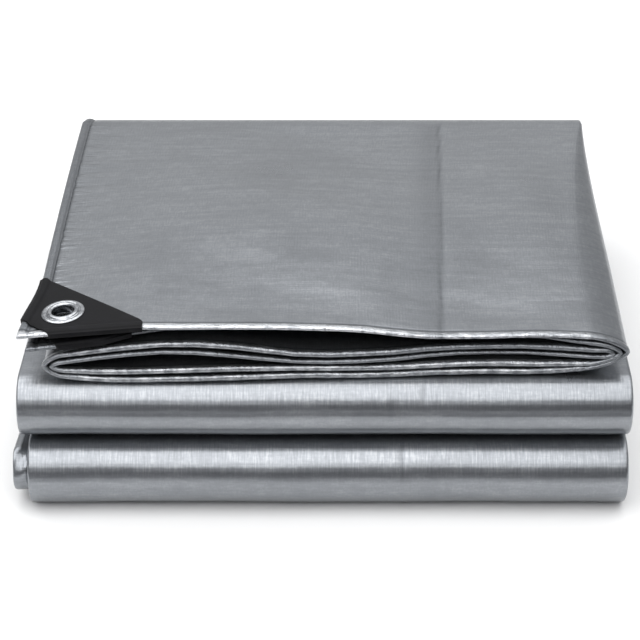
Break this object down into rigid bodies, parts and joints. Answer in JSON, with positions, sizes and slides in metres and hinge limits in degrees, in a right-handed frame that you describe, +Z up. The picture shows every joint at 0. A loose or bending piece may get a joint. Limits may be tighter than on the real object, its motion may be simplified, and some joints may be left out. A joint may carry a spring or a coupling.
{
  "type": "folded tarp",
  "caption": "Silver woven tarpaulin folded flat into a layered stack, with black patched corners and metal eyelets lying on top at the front.",
  "frame": {"origin": "middle of the stack's footprint, on the surface it lies on", "axes": "+X to the right along the front folds, +Y to the back, +Z up through the layers"},
  "size_m": [0.3434, 0.3142, 0.115],
  "materials": {
    "coated_weave": "silver coated woven tape, satin",
    "patch_plastic": "matte black",
    "eyelet_metal": "bright pressed"
  },
  "bodies": {
    "root": {"tarp": "coated_weave", "corner_patch_upper": "patch_plastic", "corner_patch_lower": "patch_plastic", "eyelet_upper": "eyelet_metal", "eyelet_lower": "eyelet_metal"}
  },
  "joints": []
}
